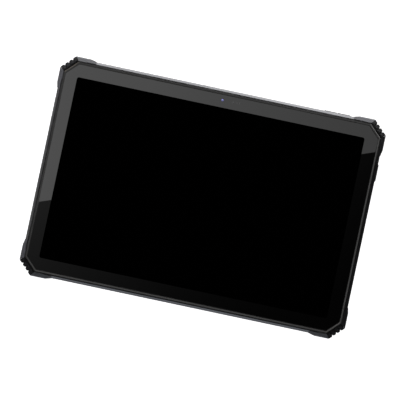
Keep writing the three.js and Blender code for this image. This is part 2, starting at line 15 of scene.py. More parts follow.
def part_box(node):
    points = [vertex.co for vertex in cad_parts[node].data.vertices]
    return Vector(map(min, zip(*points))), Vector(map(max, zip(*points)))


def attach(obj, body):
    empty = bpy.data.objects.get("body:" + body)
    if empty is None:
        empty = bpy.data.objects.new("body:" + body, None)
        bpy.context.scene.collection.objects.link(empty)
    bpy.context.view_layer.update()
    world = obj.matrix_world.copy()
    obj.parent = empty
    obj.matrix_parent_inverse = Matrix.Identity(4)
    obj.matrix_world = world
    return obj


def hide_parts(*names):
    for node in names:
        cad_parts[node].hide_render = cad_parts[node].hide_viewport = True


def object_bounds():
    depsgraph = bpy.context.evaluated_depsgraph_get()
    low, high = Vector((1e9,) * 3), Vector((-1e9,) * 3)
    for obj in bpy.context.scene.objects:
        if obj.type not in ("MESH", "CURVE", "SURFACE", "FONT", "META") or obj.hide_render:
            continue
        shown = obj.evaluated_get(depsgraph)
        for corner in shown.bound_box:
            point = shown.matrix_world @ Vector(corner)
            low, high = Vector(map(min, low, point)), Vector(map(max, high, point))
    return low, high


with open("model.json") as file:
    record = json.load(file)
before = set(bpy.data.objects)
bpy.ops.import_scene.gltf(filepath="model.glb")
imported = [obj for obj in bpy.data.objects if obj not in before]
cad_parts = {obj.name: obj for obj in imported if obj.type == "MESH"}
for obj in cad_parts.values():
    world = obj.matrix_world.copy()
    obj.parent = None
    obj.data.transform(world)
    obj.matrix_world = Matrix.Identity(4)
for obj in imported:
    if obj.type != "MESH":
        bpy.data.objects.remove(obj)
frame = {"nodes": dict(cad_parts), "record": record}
cad_box = [list(corner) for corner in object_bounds()]
MM = 0.001

# ---------------------------------------------------------------- sizes taken from the frame


def span(node):
    """The lowest and highest corner of a CAD node, in millimetres."""
    return [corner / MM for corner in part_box(node)]


def centre(node):
    """The middle of a CAD node's box."""
    low, high = span(node)
    return (low + high) / 2


def half_size(node):
    """Half a CAD node's length and half its width."""
    low, high = span(node)
    return (high.x - low.x) / 2, (high.y - low.y) / 2


OVERALL = [-cad_box[0][0] / MM, -cad_box[0][1] / MM]  # half length and half width over the bumpers
BODY = half_size("rear_cover")
RIM = half_size("front_frame")
GLASS = half_size("cover_glass")
RIM_CHAMFER = 9.4
GLASS_CHAMFER = 8.5
BODY_CHAMFER = 10.5
OVERALL_CHAMFER = 10.1
FRONT_Z = span("front_frame")[1].z
GLASS_TOP_Z = span("cover_glass")[1].z
GLASS_BOTTOM_Z = span("cover_glass")[0].z
BACK_Z = span("rear_cover")[0].z
WALL_TOP_Z = span("rear_cover")[1].z
TOP_HOLES = (  # x, z, radius, depth and mouth of the holes in the top wall beside the keys
    (73.3, 10.4, 0.74, 2.1, 0.2),  # microphone
    (span("power_button")[0].x - 1, 12.75, 0.42, 1.3, 0.0),
)
GRIP_X, GRIP_Y = 92, -6  # middle of the right grip panel; the left one mirrors it
SPEAKER_X, SPEAKER_Y = 90, -61  # middle of the right speaker's slots
SPEAKER_SLOT_PITCH = 2.7
SCREW_HEAD_R, HATCH_SCREW_HEAD_R = 2.3, 1.8
PLATE_GAP = 0.2  # round the plates let into the back

# ---------------------------------------------------------------- materials


class Look:
    """A Principled material with short helpers for the nodes that vary its colour, gloss and relief."""

    def __init__(self, name, **sockets):
        self.material = bpy.data.materials.new(name)
        self.material.use_nodes = True
        self.nodes = self.material.node_tree.nodes
        self.links = self.material.node_tree.links
        self.shader = self.nodes["Principled BSDF"]
        self.place = self.nodes.new("ShaderNodeTexCoord").outputs["Object"]
        for socket, value in sockets.items():
            self.shader.inputs[socket.replace("_", " ")].default_value = value

    def add(self, kind, inputs=None, **settings):
        """A new node, with each input linked to a socket or set to a value."""
        node = self.nodes.new(kind)
        for key, value in settings.items():
            setattr(node, key, value)
        for key, value in (inputs or {}).items():
            if hasattr(value, "is_linked"):
                self.links.new(value, node.inputs[key])
            else:
                node.inputs[key].default_value = value
        return node

    def noise(self, size_mm, detail=2.0, roughness=0.5, stretch=None):
        """Noise of a real size, drawn out where a stretch is given."""
        place = self.place
        if stretch:
            place = self.add("ShaderNodeMapping", {"Vector": place, "Scale": stretch}).outputs[0]
        wanted = {"Vector": place, "Scale": 1 / (size_mm * MM), "Detail": detail, "Roughness": roughness}
        return self.add("ShaderNodeTexNoise", wanted).outputs["Fac"]

    def ramp(self, value, low, high, to_low, to_high):
        """A value carried from one range to another."""
        wanted = {"Value": value, "From Min": low, "From Max": high, "To Min": to_low, "To Max": to_high}
        return self.add("ShaderNodeMapRange", wanted).outputs[0]

    def mix(self, factor, a, b):
        """A colour between two, by a varying factor."""
        node = self.add("ShaderNodeMix", data_type="RGBA")
        self.links.new(factor, node.inputs[0])
        node.inputs[6].default_value = a
        node.inputs[7].default_value = b
        return node.outputs[2]

    def set(self, socket, value):
        self.links.new(value, self.shader.inputs[socket])

    def bump(self, height, depth_mm, strength=1.0, normal=None):
        """Relief of a given depth, on top of another relief where one is given."""
        wanted = {"Height": height, "Distance": depth_mm * MM, "Strength": strength}
        if normal is not None:
            wanted["Normal"] = normal
        return self.add("ShaderNodeBump", wanted).outputs[0]


def grey(level, tint=(1, 1, 1), alpha=1.0):
    return tuple(level * t for t in tint) + (alpha,)


def moulded(name, level, roughness, tint=(1, 1, 1), grain=0.35, depth=0.02, spread=0.25, specular=0.5):
    """Moulded plastic or rubber: spark-eroded grain, faint flow marks and a gloss that wanders."""
    look = Look(name, Specular_IOR_Level=specular)
    clouds = look.noise(9, 3)
    flow = look.noise(38, 2, stretch=(1, 3, 1))
    tone = look.ramp(clouds, 0.3, 0.7, 0, 1)
    dark, light = grey(level * (1 - spread), tint), grey(level * (1 + spread), tint)
    look.set("Base Color", look.mix(tone, dark, light))
    look.set("Roughness", look.ramp(flow, 0.3, 0.7, roughness - 0.06, roughness + 0.07))
    fine = look.bump(look.noise(grain, 3, 0.6), depth)
    look.set("Normal", look.bump(clouds, depth * 2, 0.5, fine))
    return look.material


def polished(name, level, roughness, tint=(1, 1, 1), specular=0.5, smudge=0.05, coat=0.0):
    """A polished surface with faint smudges in its gloss."""
    look = Look(name, Specular_IOR_Level=specular, Coat_Weight=coat, Metallic=min(1, coat * 2))
    smear = look.noise(22, 4, 0.6, stretch=(1, 1.8, 1))
    look.set("Roughness", look.ramp(smear, 0.4, 0.75, roughness, roughness + smudge))
    tone = look.noise(60, 2)
    look.set("Base Color", look.mix(tone, grey(level * 0.85, tint), grey(level * 1.15, tint)))
    look.set("Normal", look.bump(look.noise(45, 1), 0.002, 0.4))
    return look.material


def metal(name, level, roughness, tint=(1, 1, 1), brushed=1.0):
    """Bare or plated metal with fine lines along the brushing."""
    look = Look(name, Metallic=1.0)
    lines = look.noise(0.25, 3, stretch=(1, 1 + 12 * brushed, 1))
    look.set("Base Color", look.mix(look.noise(4, 3), grey(level * 0.85, tint), grey(level * 1.1, tint)))
    look.set("Roughness", look.ramp(lines, 0.3, 0.7, roughness - 0.08, roughness + 0.1))
    look.set("Normal", look.bump(lines, 0.004, 0.6))
    return look.material


LOOKS = {
    "housing": moulded("housing plastic", 0.011, 0.38, (1, 1, 1.03)),
    "front_frame": moulded("front rim plastic", 0.008, 0.3, (1.04, 1, 0.97), grain=0.25, depth=0.006),
    "bumper": moulded("bumper rubber", 0.010, 0.43, (0.98, 1, 1.05), grain=0.3, depth=0.02),
    "grip_pad": moulded("grip pad rubber", 0.005, 0.7, grain=0.2, depth=0.02, specular=0.14),
    "cover_glass": polished("printed border glass", 0.0012, 0.004, smudge=0.006),
    "display": polished("unlit display", 0.0002, 0.2, specular=0.0, smudge=0.1),
    "key_plastic": moulded("key plastic", 0.018, 0.4, grain=0.2, depth=0.01),
    "silicone": moulded("door silicone", 0.012, 0.55, grain=0.25, depth=0.015),
    "magnesium": metal("cast magnesium", 0.45, 0.5, brushed=0),
    "steel": metal("blackened steel", 0.16, 0.36),
    "gold_contact": metal("gold plate", 0.75, 0.25, (1, 0.72, 0.3)),
    "board": moulded("solder mask", 0.05, 0.4, (0.3, 1.3, 0.6), grain=0.6, depth=0.01),
    "copper": metal("copper foil", 0.6, 0.35, (1, 0.55, 0.35)),
    "antenna_ceramic": moulded(
        "fired ceramic", 0.5, 0.6, (1, 0.95, 0.82), grain=0.15, depth=0.01, spread=0.08),
    "battery_wrap": moulded("battery film", 0.04, 0.35, (0.9, 1, 1.1), grain=1.2, depth=0.02),
    "lens": polished("coated lens", 0.3, 0.03, (0.6, 0.62, 1.6), specular=0.8, coat=0.3),
    "smoked_window": moulded("smoked indicator window", 0.12, 0.25, grain=0.3, depth=0.004, spread=0.1),
    "diffuser": moulded(
        "translucent white", 0.75, 0.3, (1, 0.97, 0.88), grain=0.5, depth=0.01, spread=0.05),
}

# ---------------------------------------------------------------- mesh helpers


def octagon(half, chamfer, inset=0.0, soften=0.0, steps=5):
    """The plan outline of a chamfered rectangle moved inwards, with its eight corners rounded."""
    a, b = half[0] - inset, half[1] - inset
    c = chamfer - (2 - math.sqrt(2)) * inset
    corners = [(a, -b + c), (a, b - c), (a - c, b), (-a + c, b),
               (-a, b - c), (-a, -b + c), (-a + c, -b), (a - c, -b)]
    return rounded(corners, soften, steps)


def rounded(corners, radius, steps=5):
    """A closed outline with each corner replaced by an arc."""
    if radius <= 0:
        return [Vector(p) for p in corners]
    points = []
    for i, corner in enumerate(corners):
        here = Vector(corner)
        back = (Vector(corners[i - 1]) - here).normalized()
        ahead = (Vector(corners[(i + 1) % len(corners)]) - here).normalized()
        half_angle = back.angle(ahead) / 2
        reach = radius / math.tan(half_angle)
        middle = here + (back + ahead).normalized() * (radius / math.sin(half_angle))
        start, end = here + back * reach - middle, here + ahead * reach - middle
        turn = start.angle_signed(end)
        for k in range(steps + 1):
            points.append(middle + turned(start, -turn * k / steps))
    return points


def turned(v, angle):
    """A plan vector turned anticlockwise."""
    c, s = math.cos(angle), math.sin(angle)
    return Vector((v.x * c - v.y * s, v.x * s + v.y * c))


def rectangle(x, y, half_x, half_y, radius=0.0, steps=5):
    """The outline of a rectangle about its middle, with rounded corners where a radius is given."""
    corners = [(x + half_x, y - half_y), (x + half_x, y + half_y),
               (x - half_x, y + half_y), (x - half_x, y - half_y)]
    return rounded(corners, radius, steps)


def circle(x, y, r, count=48):
    return arc(x, y, r, (2 * math.pi * k / count for k in range(count)))


def arc(x, y, r, angles):
    return [Vector((x + r * math.cos(t), y + r * math.sin(t))) for t in angles]


def loft(bm, sections, caps=(True, True)):
    """Joins a stack of outlines, each (height, points), bottom first; all have the same number of points."""
    rings = [[bm.verts.new((p.x, p.y, z)) for p in outline] for z, outline in sections]
    for low, high in zip(rings, rings[1:]):
        bridge(bm, low, high)
    if caps[0]:
        bm.faces.new(rings[0][::-1])
    if caps[1]:
        bm.faces.new(rings[-1])
    return rings


def bridge(bm, low, high):
    """A closed band of faces between two rings of points."""
    for i in range(len(low)):
        j = (i + 1) % len(low)
        bm.faces.new((low[i], low[j], high[j], high[i]))


def fillet(points, radius, steps=4):
    """An open run of (step, height) points with its inner corners rounded, by one radius or one for each."""
    radii = radius if isinstance(radius, (list, tuple)) else [radius] * (len(points) - 2)
    done = [Vector(points[0])]
    for before, corner, after, r in zip(points, points[1:], points[2:], radii):
        here = Vector(corner)
        back, ahead = Vector(before) - here, Vector(after) - here
        reach = min(r, back.length * 0.49, ahead.length * 0.49)
        start, end = here + back.normalized() * reach, here + ahead.normalized() * reach
        for k in range(steps + 1):
            t = k / steps
            done.append(start * (1 - t) ** 2 + here * 2 * t * (1 - t) + end * t * t)
    return done + [Vector(points[-1])]


def finished(bm, name, slots, smooth_angle=35.0):
    """Turns a bmesh in millimetres into an object in metres, with one material for each slot."""
    mesh = bpy.data.meshes.new(name)
    bmesh.ops.scale(bm, vec=(MM, MM, MM), verts=bm.verts)
    bm.to_mesh(mesh)
    bm.free()
    piece = bpy.data.objects.new(name, mesh)
    bpy.context.scene.collection.objects.link(piece)
    for slot in slots:
        mesh.materials.append(LOOKS[slot])
    shade(piece, smooth_angle)
    return piece


def shade(piece, angle=35.0):
    """Smooth shading that breaks at the edges sharper than an angle."""
    piece.data.shade_smooth()
    piece.data.set_sharp_from_angle(angle=math.radians(angle))


def settle(piece):
    """Applies a piece's modifiers to its mesh."""
    bpy.context.view_layer.update()
    graph = bpy.context.evaluated_depsgraph_get()
    mesh = bpy.data.meshes.new_from_object(piece.evaluated_get(graph))
    old = piece.data
    piece.modifiers.clear()
    piece.data = mesh
    bpy.data.meshes.remove(old)
    return piece


def combine(piece, tools, operation="DIFFERENCE"):
    """Cuts a piece by each tool, or joins them to it, and removes the tools."""
    for tool in tools:
        change = piece.modifiers.new("cut", "BOOLEAN")
        change.operation = operation
        change.solver = "MANIFOLD"
        change.object = tool
    settle(piece)
    for tool in tools:
        bpy.data.objects.remove(tool)
    return piece


def soften(piece, width_mm, segments=2, angle=30.0):
    """Rounds a piece's edges and keeps its flat faces evenly lit."""
    bevel = piece.modifiers.new("soft edges", "BEVEL")
    bevel.width = width_mm * MM
    bevel.segments = segments
    bevel.limit_method = "ANGLE"
    bevel.angle_limit = math.radians(angle)
    bevel.use_clamp_overlap = True
    return even_faces(settle(piece), 50)


def even_faces(piece, angle=35.0):
    """Lets the large flat faces set the shading of the small ones beside them."""
    shade(piece, angle)
    even = piece.modifiers.new("even faces", "WEIGHTED_NORMAL")
    even.keep_sharp = True
    even.weight = 100
    return settle(piece)


def node_copy(node, name, slot):
    """A CAD node's shape with its loose triangles merged into clean faces."""
    bm = bmesh.new()
    bm.from_mesh(frame["nodes"][node].data)
    bmesh.ops.remove_doubles(bm, verts=bm.verts, dist=2e-6)
    bmesh.ops.dissolve_limit(bm, angle_limit=math.radians(0.6), verts=bm.verts, edges=bm.edges)
    bmesh.ops.scale(bm, vec=(1 / MM,) * 3, verts=bm.verts)
    return finished(bm, name, [slot])


def from_node(node, name, slot, width_mm, segments=2):
    """A CAD node's shape with rounded edges."""
    return soften(node_copy(node, name, slot), width_mm, segments)


def prism(*sections):
    """A solid tool through a stack of (height, outline)."""
    bm = bmesh.new()
    loft(bm, sections)
    return finished(bm, "tool", ["housing"])


def recess(outline, depth_z, lip=0.3):
    """A tool that sinks a pocket into the back; outline(grow) gives its plan, and its mouth is chamfered."""
    wide, narrow = outline(lip), outline(0)
    return prism((-1, wide), (BACK_Z, wide), (BACK_Z + lip, narrow), (depth_z, narrow))


def turned_solid(bm, profile, count=48):
    """A solid of revolution about the Z axis through the origin; profile is a run of (radius, height)."""
    loft(bm, [(z, circle(0, 0, max(r, 0.001), count)) for r, z in profile])


def moved(bm, place):
    """Moves a piece in the making to its place and points its faces outwards."""
    bmesh.ops.translate(bm, vec=place, verts=bm.verts)
    bmesh.ops.recalc_face_normals(bm, faces=bm.faces)
    return bm


def scattered(name, prototype, slot, places, turn=0.0, spread=0.0, seed=3):
    """Copies a prototype to each (x, y, z) with Geometry Nodes, and joins the copies in one mesh."""
    points = bpy.data.meshes.new(name + " places")
    points.from_pydata([tuple(c * MM for c in place) for place in places], [], [])
    holder = bpy.data.objects.new(name, points)
    bpy.context.scene.collection.objects.link(holder)
    tree = bpy.data.node_groups.new(name, "GeometryNodeTree")
    face = tree.interface
    face.new_socket("Places", in_out="INPUT", socket_type="NodeSocketGeometry")
    wanted = {
        "Prototype": ("NodeSocketObject", prototype),
        "Finish": ("NodeSocketMaterial", LOOKS[slot]),
        "Turn": ("NodeSocketFloat", turn),
        "Turn spread": ("NodeSocketFloat", spread),
        "Seed": ("NodeSocketInt", seed),
    }
    sockets = {key: face.new_socket(key, in_out="INPUT", socket_type=kind)
               for key, (kind, _) in wanted.items()}
    face.new_socket("Geometry", in_out="OUTPUT", socket_type="NodeSocketGeometry")
    nodes, link = tree.nodes, tree.links.new
    given, out = nodes.new("NodeGroupInput"), nodes.new("NodeGroupOutput")
    info = nodes.new("GeometryNodeObjectInfo")
    random = nodes.new("FunctionNodeRandomValue")
    total = nodes.new("ShaderNodeMath")
    turning = nodes.new("ShaderNodeCombineXYZ")
    place = nodes.new("GeometryNodeInstanceOnPoints")
    real = nodes.new("GeometryNodeRealizeInstances")
    finish = nodes.new("GeometryNodeSetMaterial")
    link(given.outputs["Prototype"], info.inputs["Object"])
    random.data_type = "FLOAT"
    link(given.outputs["Turn spread"], random.inputs[3])
    link(given.outputs["Seed"], random.inputs["Seed"])
    link(given.outputs["Turn"], total.inputs[0])
    link(random.outputs[1], total.inputs[1])
    link(total.outputs[0], turning.inputs["Z"])
    link(given.outputs["Places"], place.inputs["Points"])
    link(info.outputs["Geometry"], place.inputs["Instance"])
    link(turning.outputs[0], place.inputs["Rotation"])
    link(place.outputs[0], real.inputs[0])
    link(real.outputs[0], finish.inputs["Geometry"])
    link(given.outputs["Finish"], finish.inputs["Material"])
    link(finish.outputs[0], out.inputs[0])
    modifier = holder.modifiers.new("copies", "NODES")
    modifier.node_group = tree
    for key, (_, value) in wanted.items():
        modifier[sockets[key].identifier] = value
    settle(holder)
    bpy.data.objects.remove(prototype)
    shade(holder)
    return holder


def fit(piece, body, slot, *nodes):
    """Settles which body a piece moves with, and hides the CAD nodes that it stands for; the finish given as
    slot is not used.
    """
    if nodes:
        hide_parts(*nodes)
    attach(piece, body)
    return piece


# ---------------------------------------------------------------- front


def front_frame():
    """The rim round the glass: a small outer chamfer, a crest, and a slope that leads down to the glass."""
    foot_z = span("front_frame")[0].z
    gap = 0.05
    drop = 0.25
    ledge_z = GLASS_BOTTOM_Z - 0.2
    width = RIM[0] - GLASS[0] - gap
    run = [(0, foot_z), (0, FRONT_Z - drop), (0.42, FRONT_Z), (width - 0.9, FRONT_Z), (width, FRONT_Z - drop),
           (width, ledge_z)]
    profile = fillet(run, [0.08, 0.08, 0.08, 0.05])
    profile += fillet([(width, ledge_z), (width + 1.1, ledge_z), (width + 1.1, foot_z)], 0.2)
    bm = bmesh.new()
    sections = [(z, octagon(RIM, RIM_CHAMFER, step, 1.1)) for step, z in profile]
    rings = loft(bm, sections, caps=(False, False))
    bridge(bm, rings[-1], rings[0])
    bmesh.ops.remove_doubles(bm, verts=bm.verts, dist=0.001)
    bmesh.ops.recalc_face_normals(bm, faces=bm.faces)
    return fit(finished(bm, "rim", ["front_frame"], 25), "tablet", "front_frame", "front_frame")


def cover_glass():
    """The glass plate: black print round a display window, with rounded edges and lens openings."""
    margin = 2.6
    window = [side - margin for side in half_size("lcd_panel")]
    window_corner_r = 1.6
    middle = centre("lcd_panel")
    edge = 0.12
    steps = 4
    profile = fillet([(0, GLASS_BOTTOM_Z), (0, GLASS_TOP_Z), (edge * 2, GLASS_TOP_Z)], edge, 5)
    bm = bmesh.new()
    sections = [(z, octagon(GLASS, GLASS_CHAMFER, step, 1.1, steps)) for step, z in profile]
    rings = loft(bm, sections, caps=(True, False))
    inner = []
    for quarter, (side_x, side_y) in enumerate(((1, 1), (-1, 1), (-1, -1), (1, -1))):
        x = middle.x + side_x * (window[0] - window_corner_r)
        y = middle.y + side_y * (window[1] - window_corner_r)
        last = 2 * steps + 1
        angles = [math.pi / 2 * (quarter + k / last) for k in range(last + 1)]
        inner += [bm.verts.new((p.x, p.y, GLASS_TOP_Z)) for p in arc(x, y, window_corner_r, angles)]
    first = steps + 1  # the outer outline starts at its lower right corner
    bridge(bm, rings[-1][first:] + rings[-1][:first], inner)
    bm.faces.new(inner).material_index = 1
    piece = finished(bm, "glass", ["cover_glass", "display"])
    eye, lamps = centre("front_camera"), indicator_centres()
    tools = [glass_hole(eye, 1.15, 48)] + [glass_hole(lamp, 0.55, 24) for lamp in lamps]
    fit(even_faces(combine(piece, tools), 60), "tablet", "cover_glass", "cover_glass")
    front_lens(eye)
    indicator_windows(lamps)


def glass_hole(middle, r, count):
    """A tool for a blind hole in the top of the glass."""
    outline = circle(middle.x, middle.y, r, count)
    return prism((GLASS_TOP_Z - 0.5, outline), (FRONT_Z + 1, outline))


def indicator_centres():
    """Three status lamps in a row, over the ends and the middle of their small board."""
    x, y, pitch = centre("indicator_board").x, centre("front_camera").y, 2.65
    return [Vector((x + offset, y)) for offset in (-pitch, 0, pitch)]


def front_lens(middle):
    """A small domed lens, flush with the glass, in a dark ring."""
    bm = bmesh.new()
    top = GLASS_TOP_Z - 0.03
    lens_r = 0.86
    ring = [(1.1, top - 0.45), (1.1, top - 0.06), (1.06, top), (0.95, top), (0.9, top - 0.1)]
    dome = [(0.85, top - 0.1), (0.7, top - 0.04), (0.5, top), (0.25, top + 0.02), (0.001, top + 0.025)]
    turned_solid(bm, ring + dome, 32)
    for face in bm.faces:
        face.material_index = 0 if face.calc_center_median().xy.length < lens_r else 1
    lens = finished(moved(bm, (middle.x, middle.y, 0)), "front_camera_window", ["lens", "cover_glass"])
    fit(lens, "tablet", "lens")


def indicator_windows(centres):
    """A small smoked disc over each status lamp."""
    bm = bmesh.new()
    top = GLASS_TOP_Z - 0.02
    turned_solid(bm, [(0.52, top - 0.4), (0.52, top - 0.05), (0.47, top), (0.001, top + 0.01)], 24)
    bmesh.ops.recalc_face_normals(bm, faces=bm.faces)
    lamp = finished(bm, "lamp", ["smoked_window"])
    places = [(p.x, p.y, 0) for p in centres]
    fit(scattered("indicator_windows", lamp, "smoked_window", places), "tablet", "diffuser")


# ---------------------------------------------------------------- housing

SKIN_GAP = 0.02  # keeps a smooth skin just inside the CAD faces that it is cut from


def skinned(node, name, slot, sections):
    """A CAD node's shape under a smooth outer skin."""
    bm = bmesh.new()
    loft(bm, sections)
    return combine(finished(bm, name, [slot]), [node_copy(node, "tool", slot)], "INTERSECT")


def housing():
    """The rear cover: rolled edges, lipped openings, sunk grip panels and a groove round the back."""
    # How far in from the side, and the height, from the back round to the front.
    run = [(8, BACK_Z), (3, BACK_Z), (0, 4), (0, 12.2), (1.8, WALL_TOP_Z), (6, WALL_TOP_Z)]
    run = [(step + SKIN_GAP, z) for step, z in run]
    profile = fillet(run, [1.0, 1.6, 0.5, 0.08], 5)
    sections = [(z, octagon(BODY, BODY_CHAMFER, step, 1.8)) for step, z in profile]
    piece = skinned("rear_cover", "housing", "housing", sections)
    hatch_r, trim_r = 5.2, 6  # corners of the openings for the battery cover and the camera's surround
    tools = [recess(lambda grow: plate_outline("battery_cover", PLATE_GAP + grow, hatch_r + grow), 1.4)]
    for i in range(8):
        tools.append(screw_seat("housing_screw_%d" % (i + 1), 2.75, 2.25))
    for side in (-1, 1):
        tools.append(recess(lambda grow: grip_outline(side, grow), BACK_Z + 0.42, 0.25))
        for row in range(-2, 3):
            y = SPEAKER_Y + SPEAKER_SLOT_PITCH * row
            tools.append(recess(lambda grow: speaker_slot(side * SPEAKER_X, y, grow), 1.6, 0.2))
    tools.append(recess(lambda grow: plate_outline("camera_trim", PLATE_GAP + grow, trim_r), 1.3, 0.3))
    tools.append(ring_tool(lambda step: octagon(BODY, BODY_CHAMFER, step, 1.5), 6.2, 0.7, BACK_Z + 0.3))
    tools += [drilled(*hole) for hole in TOP_HOLES]
    return fit(even_faces(combine(piece, tools)), "tablet", "housing", "rear_cover")


def plate_outline(node, grow, corner_r, steps=5):
    """A CAD plate's rounded outline, let out on all sides."""
    middle, half = centre(node), half_size(node)
    return rectangle(middle.x, middle.y, half[0] + grow, half[1] + grow, corner_r, steps)


def speaker_slot(x, y, grow):
    """A long round-ended slot."""
    return rectangle(x, y, 6.05 + grow, 0.7 + grow, 0.69)


def screw_seat(node, r, depth_z):
    """A tool for the chamfered pocket that a screw's head lies in."""
    middle = centre(node)
    return recess(lambda grow: circle(middle.x, middle.y, r + grow), depth_z, 0.35)


def drilled(x, z, r, depth, mouth):
    """A tool for a round hole in the top wall, with a chamfered mouth."""
    hole, rim = circle(0, 0, r, 24), circle(0, 0, r + mouth, 24)
    bm = bmesh.new()
    loft(bm, [(-depth, hole), (-mouth, hole), (0.1, rim), (2, rim)])
    bmesh.ops.rotate(bm, matrix=Matrix.Rotation(-math.pi / 2, 3, "X"), verts=bm.verts)
    bmesh.ops.translate(bm, vec=(x, BODY[1], z), verts=bm.verts)
    return finished(bm, "tool", ["housing"])


def ring_tool(outline, step, width, depth_z):
    """A tool that cuts a groove of a given width along an outline in the back."""
    outer = prism((-1, outline(step - width / 2)), (depth_z, outline(step)))
    inner = prism((-1.5, outline(step + width / 2)), (depth_z + 0.001, outline(step + 0.001)))
    return combine(outer, [inner])


def grip_outline(side, grow):
    """The chamfered outline of the left (-1) or right (1) grip panel."""
    points = octagon((15, 26), 5, -grow, 0.8)
    return [Vector((p.x + side * GRIP_X, p.y + GRIP_Y)) for p in points]


def grip_ribs():
    """Rounded ribs that fill the sunk grip panels."""
    rib_half, pitch = 12.2, 2.6
    steps = ((0.05, 0), (0.2, 0.2), (0.6, 0.3))
    bm = bmesh.new()
    loft(bm, [(BACK_Z + z, rectangle(0, 0, rib_half + out, 0.5 + out, 0.49 + out, 4)) for z, out in steps])
    rib = finished(bm, "rib", ["grip_pad"])
    places = [(side * GRIP_X, GRIP_Y + pitch * row, 0) for side in (-1, 1) for row in range(-8, 9)]
    return fit(scattered("grip_ribs", rib, "grip_pad", places), "tablet", "grip_pad")


def battery_cover():
    """The screwed cover: rolled edge, countersunk screw seats and small studs in a shallow panel."""
    node = "battery_cover"
    middle, half = centre(node), half_size(node)
    top_z = span(node)[1].z
    corner_r = 5.0
    profile = fillet([(3, BACK_Z), (0, BACK_Z), (0, top_z), (3, top_z)], [0.35, 0.1], 4)
    steps = [(-step - SKIN_GAP, z) for step, z in profile]
    sections = [(z, plate_outline(node, grow, corner_r + grow, 8)) for grow, z in steps]
    piece = skinned(node, "battery_hatch", "housing", sections)
    panel = (half[0] - 14, half[1] - 12)
    tools = [recess(lambda grow: rectangle(middle.x, middle.y, panel[0] + grow, panel[1] + grow, 4),
                    BACK_Z + 0.35, 0.3)]
    for i in range(4):
        tools.append(screw_seat("battery_screw_%d" % (i + 1), 2.15, 1.9))
    fit(even_faces(combine(piece, tools)), "tablet", "housing", node)

    bm = bmesh.new()
    turned_solid(bm, [(r, BACK_Z + z) for r, z in ((0.3, 0.06), (1.1, 0.12), (1.45, 0.30), (1.5, 0.62))], 6)
    pitch = 4.2
    row_pitch = 3.64
    places = [(middle.x + pitch * (column + 0.5 * (row % 2)), middle.y + row_pitch * row, 0)
              for row in range(-8, 9) for column in range(-11, 12 - row % 2)]
    stud = finished(bm, "stud", ["housing"])
    studs = scattered("hatch_studs", stud, "housing", places, turn=math.pi / 6)
    fit(studs, "tablet", "housing")


def screws(name, nodes, head_r, seat_z):
    """Pan-head screws with six-lobed sockets, each turned as it was left by the driver."""
    low, high = span(nodes[0])
    head_z = low.z
    socket_z = head_z + 0.55
    count = 36
    lobes = []
    for k in range(count):
        t = 2 * math.pi * k / count
        r = head_r * (0.47 + 0.07 * math.cos(6 * t))
        lobes.append(Vector((r * math.cos(t), r * math.sin(t))))

    def wall(share):
        return circle(0, 0, head_r * share, count)

    socket = [(socket_z, [p * 0.05 for p in lobes]), (socket_z, [p * 0.9 for p in lobes]),
              (head_z + 0.08, lobes), (head_z, [p * 1.08 for p in lobes])]
    head = [(head_z, wall(0.72)), (head_z + 0.12, wall(0.9)), (head_z + 0.4, wall(1)), (seat_z, wall(1))]
    shank = [(seat_z, wall(0.5)), (high.z - 0.4, wall(0.5)), (high.z, wall(0.35))]
    bm = bmesh.new()
    loft(bm, socket + head + shank)
    bmesh.ops.recalc_face_normals(bm, faces=bm.faces)
    places = [(centre(node).x, centre(node).y, 0) for node in nodes]
    piece = scattered(name, finished(bm, "screw", ["steel"]), "steel", places, spread=1.0)
    return fit(piece, "tablet", "steel", *nodes)


def camera():
    """The raised camera surround with its window, and the flash's ribbed lens."""
    trim = from_node("camera_trim", "camera_surround", "key_plastic", 0.12, 3)
    fit(trim, "tablet", "key_plastic", "camera_trim")

    low, high = span("camera_window")
    middle, r = centre("camera_window"), half_size("camera_window")[0]
    lens_r = 1.6
    dome = [(0.001, 0.30), (0.9, 0.36), (1.45, 0.52), (1.5, 0.55), (lens_r, 0.5)]
    ring = [(2.1, 0.28), (2.15, 0.03), (2.3, 0), (r - 0.15, 0), (r, 0.12), (r, high.z - low.z)]
    bm = bmesh.new()
    turned_solid(bm, [(out, low.z + z) for out, z in dome + ring])
    for face in bm.faces:
        face.material_index = 0 if face.calc_center_median().xy.length < lens_r else 1
    window = finished(moved(bm, (middle.x, middle.y, 0)), "camera_glass", ["lens", "cover_glass"])
    fit(window, "tablet", "lens", "camera_window")

    low, high = span("flash_lens")
    middle, r = centre("flash_lens"), half_size("flash_lens")[0]
    rib_foot = low.z + 0.1
    rings = [(0.001, rib_foot)]
    for k in range(7):
        out = r * (k + 1) / 8
        rings += [(out - 0.05, rib_foot + 0.015 * k), (out, low.z + 0.02)]
    rings += [(r, rib_foot), (r, high.z)]
    bm = bmesh.new()
    turned_solid(bm, rings)
    lens = finished(moved(bm, (middle.x, middle.y, 0)), "flash_glass", ["diffuser"], 20)
    fit(lens, "tablet", "diffuser", "flash_lens")


def speaker_meshes():
    """A woven steel mesh behind the speaker slots: wires along, and wires across them."""
    half_length, half_width, pitch = 6.8, 0.07, 0.42
    layers = (("speaker_weft", 2.84, 3.04, True), ("speaker_warp", 2.82, 3.0, False))
    for name, low_z, high_z, along in layers:
        half = (half_length, half_width) if along else (half_width, half_length)
        outline = rectangle(0, 0, *half, 0.05, 1)
        bm = bmesh.new()
        loft(bm, [(low_z, outline), (high_z, outline)])
        wire = finished(bm, "wire", ["steel"])
        places = []
        for side in (-1, 1):
            for row in range(-16, 17):
                x, y = (0, pitch * row) if along else (pitch * row, 0)
                places.append((side * SPEAKER_X + x, SPEAKER_Y + y, 0))
        fit(scattered(name, wire, "steel", places), "tablet", "steel")


# ---------------------------------------------------------------- corners, keys and doors

CORNERS = ("top_left", "top_right", "bottom_left", "bottom_right")
STROKE = 0.11  # half the width of a mark's line on a key


